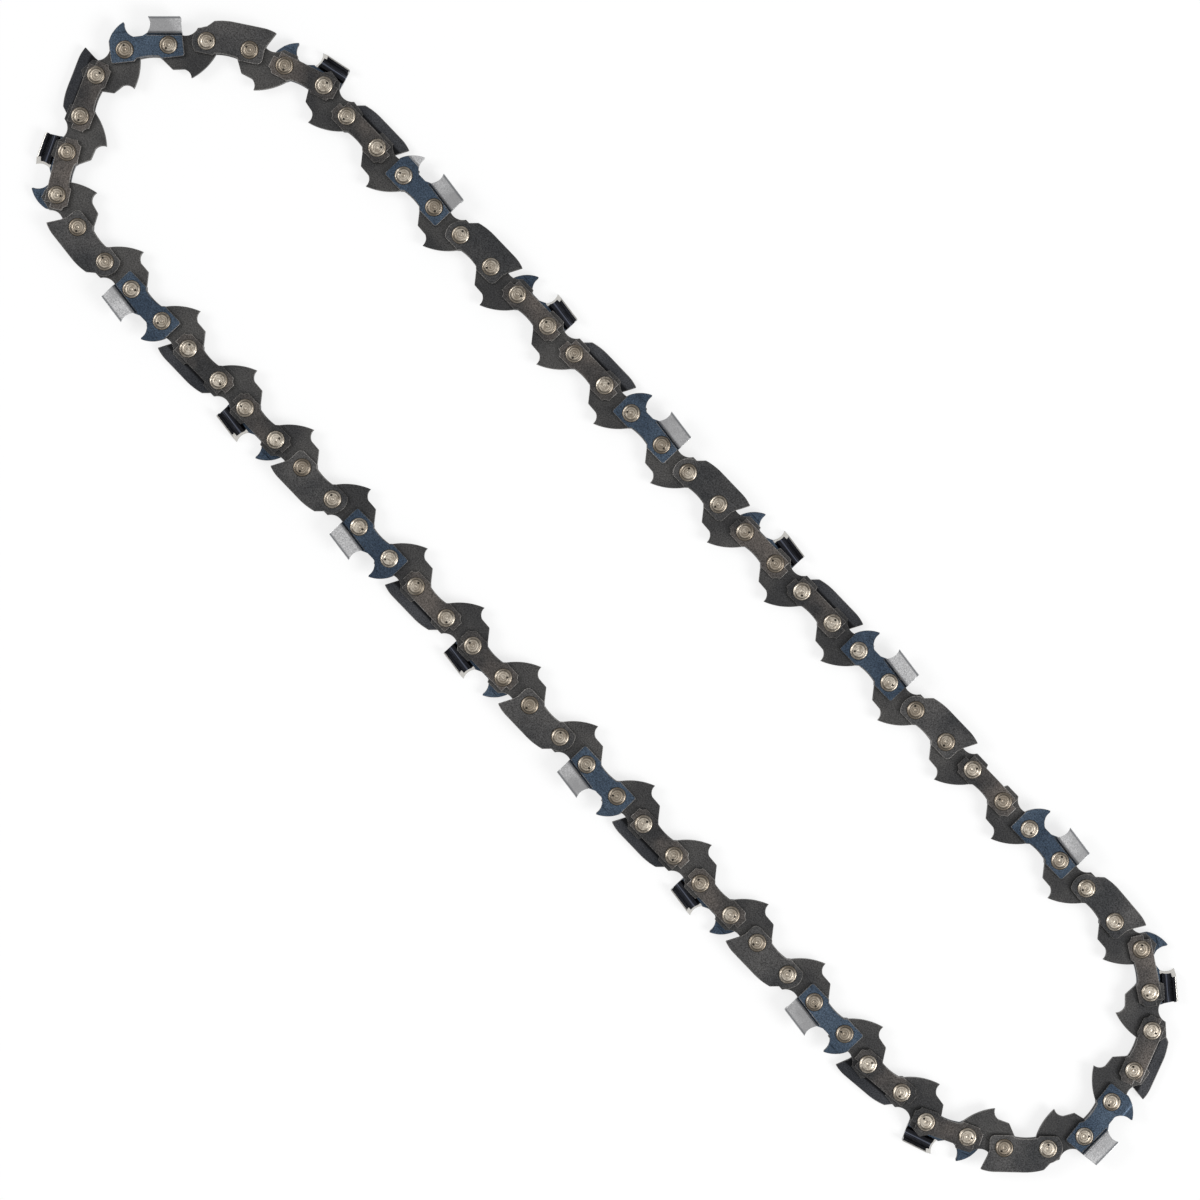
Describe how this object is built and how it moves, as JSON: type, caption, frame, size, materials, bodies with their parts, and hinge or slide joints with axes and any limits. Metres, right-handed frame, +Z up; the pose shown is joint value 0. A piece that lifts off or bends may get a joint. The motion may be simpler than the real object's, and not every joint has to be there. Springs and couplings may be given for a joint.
{
  "type": "saw chain",
  "caption": "Closed loop of low-profile saw chain for a pole saw: drive links with tangs, chromed cutters, bumper straps and tie straps on rivets.",
  "frame": {"origin": "on the table, under the middle of the loop's bounding box", "axes": "+X along the loop's two straight runs, +Y across the loop, +Z up, along the rivets"},
  "size_m": [0.3418, 0.0776, 0.0056],
  "materials": {
    "blackened_steel": "black oxide, satin",
    "cutter_steel": "hard chrome over blued steel",
    "rivet_steel": "bright, spun heads"
  },
  "bodies": {
    "bumper_link_01": {"bumper_link_01": "blackened_steel"},
    "drive_link_01": {"drive_link_01": "blackened_steel"},
    "cutter_link_02": {"cutter_link_02": "cutter_steel"},
    "drive_link_02": {"drive_link_02": "blackened_steel"},
    "bumper_link_03": {"bumper_link_03": "blackened_steel"},
    "drive_link_03": {"drive_link_03": "blackened_steel"},
    "cutter_link_04": {"cutter_link_04": "cutter_steel"},
    "drive_link_04": {"drive_link_04": "blackened_steel"},
    "bumper_link_05": {"bumper_link_05": "blackened_steel"},
    "drive_link_05": {"drive_link_05": "blackened_steel"},
    "cutter_link_06": {"cutter_link_06": "cutter_steel"},
    "drive_link_06": {"drive_link_06": "blackened_steel"},
    "bumper_link_07": {"bumper_link_07": "blackened_steel"},
    "drive_link_07": {"drive_link_07": "blackened_steel"},
    "cutter_link_08": {"cutter_link_08": "cutter_steel"},
    "drive_link_08": {"drive_link_08": "blackened_steel"},
    "bumper_link_09": {"bumper_link_09": "blackened_steel"},
    "drive_link_09": {"drive_link_09": "blackened_steel"},
    "cutter_link_10": {"cutter_link_10": "cutter_steel"},
    "drive_link_10": {"drive_link_10": "blackened_steel"},
    "bumper_link_11": {"bumper_link_11": "blackened_steel"},
    "drive_link_11": {"drive_link_11": "blackened_steel"},
    "closing_link_12": {"closing_link_12": "blackened_steel"},
    "drive_link_12": {"drive_link_12": "blackened_steel"},
    "cutter_link_13": {"cutter_link_13": "cutter_steel"},
    "drive_link_13": {"drive_link_13": "blackened_steel"},
    "right_turn": {"right_turn_drive_links": "blackened_steel", "right_turn_straps": "blackened_steel", "right_turn_rivets": "rivet_steel", "right_turn_cutters": "cutter_steel"},
    "cutter_link_21": {"cutter_link_21": "cutter_steel"},
    "drive_link_21": {"drive_link_21": "blackened_steel"},
    "bumper_link_22": {"bumper_link_22": "blackened_steel"},
    "drive_link_22": {"drive_link_22": "blackened_steel"},
    "cutter_link_23": {"cutter_link_23": "cutter_steel"},
    "drive_link_23": {"drive_link_23": "blackened_steel"},
    "bumper_link_24": {"bumper_link_24": "blackened_steel"},
    "drive_link_24": {"drive_link_24": "blackened_steel"},
    "cutter_link_25": {"cutter_link_25": "cutter_steel"},
    "drive_link_25": {"drive_link_25": "blackened_steel"},
    "bumper_link_26": {"bumper_link_26": "blackened_steel"},
    "drive_link_26": {"drive_link_26": "blackened_steel"},
    "cutter_link_27": {"cutter_link_27": "cutter_steel"},
    "drive_link_27": {"drive_link_27": "blackened_steel"},
    "bumper_link_28": {"bumper_link_28": "blackened_steel"},
    "drive_link_28": {"drive_link_28": "blackened_steel"},
    "cutter_link_29": {"cutter_link_29": "cutter_steel"},
    "drive_link_29": {"drive_link_29": "blackened_steel"},
    "bumper_link_30": {"bumper_link_30": "blackened_steel"},
    "drive_link_30": {"drive_link_30": "blackened_steel"},
    "cutter_link_31": {"cutter_link_31": "cutter_steel"},
    "drive_link_31": {"drive_link_31": "blackened_steel"},
    "bumper_link_32": {"bumper_link_32": "blackened_steel"},
    "drive_link_32": {"drive_link_32": "blackened_steel"},
    "cutter_link_33": {"cutter_link_33": "cutter_steel"},
    "drive_link_33": {"drive_link_33": "blackened_steel"},
    "left_turn": {"left_turn_drive_links": "blackened_steel", "left_turn_straps": "blackened_steel", "left_turn_rivets": "rivet_steel", "left_turn_cutters": "cutter_steel"}
  },
  "joints": [
    {"name": "rivet_01_hinge", "type": "hinge", "parent": "left_turn", "child": "bumper_link_01", "pos_m": [-0.11819, 0.03095, 0.00281], "axis": [0, 0, -1], "range_deg": [-5.3, 1.8]},
    {"name": "rivet_02_hinge", "type": "hinge", "parent": "bumper_link_01", "child": "drive_link_01", "pos_m": [-0.10823, 0.03095, 0.00281], "axis": [0, 0, -1], "range_deg": [-10.01, 3.21]},
    {"name": "rivet_03_hinge", "type": "hinge", "parent": "drive_link_01", "child": "cutter_link_02", "pos_m": [-0.09955, 0.03095, 0.00281], "axis": [0, 0, -1], "range_deg": [-9.15, 2.96]},
    {"name": "rivet_04_hinge", "type": "hinge", "parent": "cutter_link_02", "child": "drive_link_02", "pos_m": [-0.08959, 0.03095, 0.00281], "axis": [0, 0, -1], "range_deg": [-7.79, 2.55]},
    {"name": "rivet_05_hinge", "type": "hinge", "parent": "drive_link_02", "child": "bumper_link_03", "pos_m": [-0.08091, 0.03095, 0.00281], "axis": [0, 0, -1], "range_deg": [-5.98, 2]},
    {"name": "rivet_06_hinge", "type": "hinge", "parent": "bumper_link_03", "child": "drive_link_03", "pos_m": [-0.07095, 0.03095, 0.00281], "axis": [0, 0, -1], "range_deg": [-3.85, 1.36]},
    {"name": "rivet_07_hinge", "type": "hinge", "parent": "drive_link_03", "child": "cutter_link_04", "pos_m": [-0.06227, 0.03095, 0.00281], "axis": [0, 0, -1], "range_deg": [-1.5, 0.66]},
    {"name": "rivet_08_hinge", "type": "hinge", "parent": "cutter_link_04", "child": "drive_link_04", "pos_m": [-0.05231, 0.03095, 0.00281], "axis": [0, 0, -1], "range_deg": [-0.66, 1.5]},
    {"name": "rivet_09_hinge", "type": "hinge", "parent": "drive_link_04", "child": "bumper_link_05", "pos_m": [-0.04363, 0.03095, 0.00281], "axis": [0, 0, -1], "range_deg": [-1.36, 3.85]},
    {"name": "rivet_10_hinge", "type": "hinge", "parent": "bumper_link_05", "child": "drive_link_05", "pos_m": [-0.03367, 0.03095, 0.00281], "axis": [0, 0, -1], "range_deg": [-2, 5.98]},
    {"name": "rivet_11_hinge", "type": "hinge", "parent": "drive_link_05", "child": "cutter_link_06", "pos_m": [-0.02499, 0.03095, 0.00281], "axis": [0, 0, -1], "range_deg": [-2.55, 7.79]},
    {"name": "rivet_12_hinge", "type": "hinge", "parent": "cutter_link_06", "child": "drive_link_06", "pos_m": [-0.01503, 0.03095, 0.00281], "axis": [0, 0, -1], "range_deg": [-2.96, 9.15]},
    {"name": "rivet_13_hinge", "type": "hinge", "parent": "drive_link_06", "child": "bumper_link_07", "pos_m": [-0.00635, 0.03095, 0.00281], "axis": [0, 0, -1], "range_deg": [-3.21, 10.01]},
    {"name": "rivet_14_hinge", "type": "hinge", "parent": "bumper_link_07", "child": "drive_link_07", "pos_m": [0.00361, 0.03095, 0.00281], "axis": [0, 0, -1], "range_deg": [-3, 10]},
    {"name": "rivet_15_hinge", "type": "hinge", "parent": "drive_link_07", "child": "cutter_link_08", "pos_m": [0.01229, 0.03095, 0.00281], "axis": [0, 0, -1], "range_deg": [-3.21, 10.01]},
    {"name": "rivet_16_hinge", "type": "hinge", "parent": "cutter_link_08", "child": "drive_link_08", "pos_m": [0.02225, 0.03095, 0.00281], "axis": [0, 0, -1], "range_deg": [-2.96, 9.15]},
    {"name": "rivet_17_hinge", "type": "hinge", "parent": "drive_link_08", "child": "bumper_link_09", "pos_m": [0.03093, 0.03095, 0.00281], "axis": [0, 0, -1], "range_deg": [-2.55, 7.79]},
    {"name": "rivet_18_hinge", "type": "hinge", "parent": "bumper_link_09", "child": "drive_link_09", "pos_m": [0.04089, 0.03095, 0.00281], "axis": [0, 0, -1], "range_deg": [-2, 5.98]},
    {"name": "rivet_19_hinge", "type": "hinge", "parent": "drive_link_09", "child": "cutter_link_10", "pos_m": [0.04957, 0.03095, 0.00281], "axis": [0, 0, -1], "range_deg": [-1.36, 3.85]},
    {"name": "rivet_20_hinge", "type": "hinge", "parent": "cutter_link_10", "child": "drive_link_10", "pos_m": [0.05953, 0.03095, 0.00281], "axis": [0, 0, -1], "range_deg": [-0.66, 1.5]},
    {"name": "rivet_21_hinge", "type": "hinge", "parent": "drive_link_10", "child": "bumper_link_11", "pos_m": [0.06821, 0.03095, 0.00281], "axis": [0, 0, -1], "range_deg": [-1.5, 0.66]},
    {"name": "rivet_22_hinge", "type": "hinge", "parent": "bumper_link_11", "child": "drive_link_11", "pos_m": [0.07817, 0.03095, 0.00281], "axis": [0, 0, -1], "range_deg": [-3.85, 1.36]},
    {"name": "rivet_67_hinge", "type": "hinge", "parent": "left_turn", "child": "drive_link_33", "pos_m": [-0.13229, -0.03142, 0.00281], "axis": [0, 0, -1], "range_deg": [-1.8, 5.3]},
    {"name": "rivet_66_hinge", "type": "hinge", "parent": "drive_link_33", "child": "cutter_link_33", "pos_m": [-0.12361, -0.03142, 0.00281], "axis": [0, 0, -1], "range_deg": [-3.21, 10.01]},
    {"name": "rivet_65_hinge", "type": "hinge", "parent": "cutter_link_33", "child": "drive_link_32", "pos_m": [-0.11365, -0.03142, 0.00281], "axis": [0, 0, -1], "range_deg": [-2.96, 9.15]},
    {"name": "rivet_64_hinge", "type": "hinge", "parent": "drive_link_32", "child": "bumper_link_32", "pos_m": [-0.10497, -0.03142, 0.00281], "axis": [0, 0, -1], "range_deg": [-2.55, 7.79]},
    {"name": "rivet_63_hinge", "type": "hinge", "parent": "bumper_link_32", "child": "drive_link_31", "pos_m": [-0.09501, -0.03142, 0.00281], "axis": [0, 0, -1], "range_deg": [-2, 5.98]},
    {"name": "rivet_62_hinge", "type": "hinge", "parent": "drive_link_31", "child": "cutter_link_31", "pos_m": [-0.08633, -0.03142, 0.00281], "axis": [0, 0, -1], "range_deg": [-1.36, 3.85]},
    {"name": "rivet_61_hinge", "type": "hinge", "parent": "cutter_link_31", "child": "drive_link_30", "pos_m": [-0.07637, -0.03142, 0.00281], "axis": [0, 0, -1], "range_deg": [-0.66, 1.5]},
    {"name": "rivet_60_hinge", "type": "hinge", "parent": "drive_link_30", "child": "bumper_link_30", "pos_m": [-0.06769, -0.03142, 0.00281], "axis": [0, 0, -1], "range_deg": [-1.5, 0.66]},
    {"name": "rivet_59_hinge", "type": "hinge", "parent": "bumper_link_30", "child": "drive_link_29", "pos_m": [-0.05773, -0.03142, 0.00281], "axis": [0, 0, -1], "range_deg": [-3.85, 1.36]},
    {"name": "rivet_58_hinge", "type": "hinge", "parent": "drive_link_29", "child": "cutter_link_29", "pos_m": [-0.04905, -0.03142, 0.00281], "axis": [0, 0, -1], "range_deg": [-5.98, 2]},
    {"name": "rivet_57_hinge", "type": "hinge", "parent": "cutter_link_29", "child": "drive_link_28", "pos_m": [-0.03909, -0.03142, 0.00281], "axis": [0, 0, -1], "range_deg": [-7.79, 2.55]},
    {"name": "rivet_56_hinge", "type": "hinge", "parent": "drive_link_28", "child": "bumper_link_28", "pos_m": [-0.03041, -0.03142, 0.00281], "axis": [0, 0, -1], "range_deg": [-9.15, 2.96]},
    {"name": "rivet_55_hinge", "type": "hinge", "parent": "bumper_link_28", "child": "drive_link_27", "pos_m": [-0.02045, -0.03142, 0.00281], "axis": [0, 0, -1], "range_deg": [-10.01, 3.21]},
    {"name": "rivet_54_hinge", "type": "hinge", "parent": "drive_link_27", "child": "cutter_link_27", "pos_m": [-0.01177, -0.03142, 0.00281], "axis": [0, 0, -1], "range_deg": [-10.3, 3.3]},
    {"name": "rivet_53_hinge", "type": "hinge", "parent": "cutter_link_27", "child": "drive_link_26", "pos_m": [-0.00181, -0.03142, 0.00281], "axis": [0, 0, -1], "range_deg": [-10.01, 3.21]},
    {"name": "rivet_52_hinge", "type": "hinge", "parent": "drive_link_26", "child": "bumper_link_26", "pos_m": [0.00687, -0.03142, 0.00281], "axis": [0, 0, -1], "range_deg": [-9.15, 2.96]},
    {"name": "rivet_51_hinge", "type": "hinge", "parent": "bumper_link_26", "child": "drive_link_25", "pos_m": [0.01683, -0.03142, 0.00281], "axis": [0, 0, -1], "range_deg": [-7.79, 2.55]},
    {"name": "rivet_50_hinge", "type": "hinge", "parent": "drive_link_25", "child": "cutter_link_25", "pos_m": [0.02551, -0.03142, 0.00281], "axis": [0, 0, -1], "range_deg": [-5.98, 2]},
    {"name": "rivet_49_hinge", "type": "hinge", "parent": "cutter_link_25", "child": "drive_link_24", "pos_m": [0.03547, -0.03142, 0.00281], "axis": [0, 0, -1], "range_deg": [-3.85, 1.36]},
    {"name": "rivet_48_hinge", "type": "hinge", "parent": "drive_link_24", "child": "bumper_link_24", "pos_m": [0.04415, -0.03142, 0.00281], "axis": [0, 0, -1], "range_deg": [-1.5, 0.66]},
    {"name": "rivet_47_hinge", "type": "hinge", "parent": "bumper_link_24", "child": "drive_link_23", "pos_m": [0.05411, -0.03142, 0.00281], "axis": [0, 0, -1], "range_deg": [-0.66, 1.5]},
    {"name": "rivet_46_hinge", "type": "hinge", "parent": "drive_link_23", "child": "cutter_link_23", "pos_m": [0.06279, -0.03142, 0.00281], "axis": [0, 0, -1], "range_deg": [-1.36, 3.85]},
    {"name": "rivet_45_hinge", "type": "hinge", "parent": "cutter_link_23", "child": "drive_link_22", "pos_m": [0.07275, -0.03142, 0.00281], "axis": [0, 0, -1], "range_deg": [-2, 5.98]},
    {"name": "rivet_44_hinge", "type": "hinge", "parent": "drive_link_22", "child": "bumper_link_22", "pos_m": [0.08143, -0.03142, 0.00281], "axis": [0, 0, -1], "range_deg": [-2.55, 7.79]},
    {"name": "rivet_43_hinge", "type": "hinge", "parent": "bumper_link_22", "child": "drive_link_21", "pos_m": [0.09139, -0.03142, 0.00281], "axis": [0, 0, -1], "range_deg": [-2.96, 9.15]},
    {"name": "rivet_42_hinge", "type": "hinge", "parent": "drive_link_21", "child": "cutter_link_21", "pos_m": [0.10007, -0.03142, 0.00281], "axis": [0, 0, -1], "range_deg": [-3.21, 10.01]},
    {"name": "rivet_41_hinge", "type": "hinge", "parent": "cutter_link_21", "child": "right_turn", "pos_m": [0.11003, -0.03142, 0.00281], "axis": [0, 0, -1], "range_deg": [-1.8, 5.3]},
    {"name": "rivet_27_hinge", "type": "hinge", "parent": "right_turn", "child": "drive_link_13", "pos_m": [0.12413, 0.03095, 0.00281], "axis": [0, 0, -1], "range_deg": [-1.8, 5.3]},
    {"name": "rivet_26_hinge", "type": "hinge", "parent": "drive_link_13", "child": "cutter_link_13", "pos_m": [0.11545, 0.03095, 0.00281], "axis": [0, 0, -1], "range_deg": [-3.21, 10.01]},
    {"name": "rivet_25_hinge", "type": "hinge", "parent": "cutter_link_13", "child": "drive_link_12", "pos_m": [0.10549, 0.03095, 0.00281], "axis": [0, 0, -1], "range_deg": [-2.96, 9.15]},
    {"name": "rivet_24_hinge", "type": "hinge", "parent": "drive_link_12", "child": "closing_link_12", "pos_m": [0.09681, 0.03095, 0.00281], "axis": [0, 0, -1], "range_deg": [-2.55, 7.79]}
  ],
  "couplings": [
    {"joint": "rivet_01_hinge", "follows": "rivet_14_hinge", "ratio": -0.5},
    {"joint": "rivet_02_hinge", "follows": "rivet_14_hinge", "ratio": -0.97094},
    {"joint": "rivet_03_hinge", "follows": "rivet_14_hinge", "ratio": -0.88546},
    {"joint": "rivet_04_hinge", "follows": "rivet_14_hinge", "ratio": -0.74851},
    {"joint": "rivet_05_hinge", "follows": "rivet_14_hinge", "ratio": -0.56806},
    {"joint": "rivet_06_hinge", "follows": "rivet_14_hinge", "ratio": -0.3546},
    {"joint": "rivet_07_hinge", "follows": "rivet_14_hinge", "ratio": -0.12054},
    {"joint": "rivet_08_hinge", "follows": "rivet_14_hinge", "ratio": 0.12054},
    {"joint": "rivet_09_hinge", "follows": "rivet_14_hinge", "ratio": 0.3546},
    {"joint": "rivet_10_hinge", "follows": "rivet_14_hinge", "ratio": 0.56806},
    {"joint": "rivet_11_hinge", "follows": "rivet_14_hinge", "ratio": 0.74851},
    {"joint": "rivet_12_hinge", "follows": "rivet_14_hinge", "ratio": 0.88546},
    {"joint": "rivet_13_hinge", "follows": "rivet_14_hinge", "ratio": 0.97094},
    {"joint": "rivet_15_hinge", "follows": "rivet_14_hinge", "ratio": 0.97094},
    {"joint": "rivet_16_hinge", "follows": "rivet_14_hinge", "ratio": 0.88546},
    {"joint": "rivet_17_hinge", "follows": "rivet_14_hinge", "ratio": 0.74851},
    {"joint": "rivet_18_hinge", "follows": "rivet_14_hinge", "ratio": 0.56806},
    {"joint": "rivet_19_hinge", "follows": "rivet_14_hinge", "ratio": 0.3546},
    {"joint": "rivet_20_hinge", "follows": "rivet_14_hinge", "ratio": 0.12054},
    {"joint": "rivet_21_hinge", "follows": "rivet_14_hinge", "ratio": -0.12054},
    {"joint": "rivet_22_hinge", "follows": "rivet_14_hinge", "ratio": -0.3546},
    {"joint": "rivet_67_hinge", "follows": "rivet_14_hinge", "ratio": 0.5},
    {"joint": "rivet_66_hinge", "follows": "rivet_14_hinge", "ratio": 0.97094},
    {"joint": "rivet_65_hinge", "follows": "rivet_14_hinge", "ratio": 0.88546},
    {"joint": "rivet_64_hinge", "follows": "rivet_14_hinge", "ratio": 0.74851},
    {"joint": "rivet_63_hinge", "follows": "rivet_14_hinge", "ratio": 0.56806},
    {"joint": "rivet_62_hinge", "follows": "rivet_14_hinge", "ratio": 0.3546},
    {"joint": "rivet_61_hinge", "follows": "rivet_14_hinge", "ratio": 0.12054},
    {"joint": "rivet_60_hinge", "follows": "rivet_14_hinge", "ratio": -0.12054},
    {"joint": "rivet_59_hinge", "follows": "rivet_14_hinge", "ratio": -0.3546},
    {"joint": "rivet_58_hinge", "follows": "rivet_14_hinge", "ratio": -0.56806},
    {"joint": "rivet_57_hinge", "follows": "rivet_14_hinge", "ratio": -0.74851},
    {"joint": "rivet_56_hinge", "follows": "rivet_14_hinge", "ratio": -0.88546},
    {"joint": "rivet_55_hinge", "follows": "rivet_14_hinge", "ratio": -0.97094},
    {"joint": "rivet_54_hinge", "follows": "rivet_14_hinge", "ratio": -1},
    {"joint": "rivet_53_hinge", "follows": "rivet_14_hinge", "ratio": -0.97094},
    {"joint": "rivet_52_hinge", "follows": "rivet_14_hinge", "ratio": -0.88546},
    {"joint": "rivet_51_hinge", "follows": "rivet_14_hinge", "ratio": -0.74851},
    {"joint": "rivet_50_hinge", "follows": "rivet_14_hinge", "ratio": -0.56806},
    {"joint": "rivet_49_hinge", "follows": "rivet_14_hinge", "ratio": -0.3546},
    {"joint": "rivet_48_hinge", "follows": "rivet_14_hinge", "ratio": -0.12054},
    {"joint": "rivet_47_hinge", "follows": "rivet_14_hinge", "ratio": 0.12054},
    {"joint": "rivet_46_hinge", "follows": "rivet_14_hinge", "ratio": 0.3546},
    {"joint": "rivet_45_hinge", "follows": "rivet_14_hinge", "ratio": 0.56806},
    {"joint": "rivet_44_hinge", "follows": "rivet_14_hinge", "ratio": 0.74851},
    {"joint": "rivet_43_hinge", "follows": "rivet_14_hinge", "ratio": 0.88546},
    {"joint": "rivet_42_hinge", "follows": "rivet_14_hinge", "ratio": 0.97094},
    {"joint": "rivet_41_hinge", "follows": "rivet_14_hinge", "ratio": 0.5},
    {"joint": "rivet_27_hinge", "follows": "rivet_14_hinge", "ratio": 0.5},
    {"joint": "rivet_26_hinge", "follows": "rivet_14_hinge", "ratio": 0.97094},
    {"joint": "rivet_25_hinge", "follows": "rivet_14_hinge", "ratio": 0.88546},
    {"joint": "rivet_24_hinge", "follows": "rivet_14_hinge", "ratio": 0.74851}
  ]
}
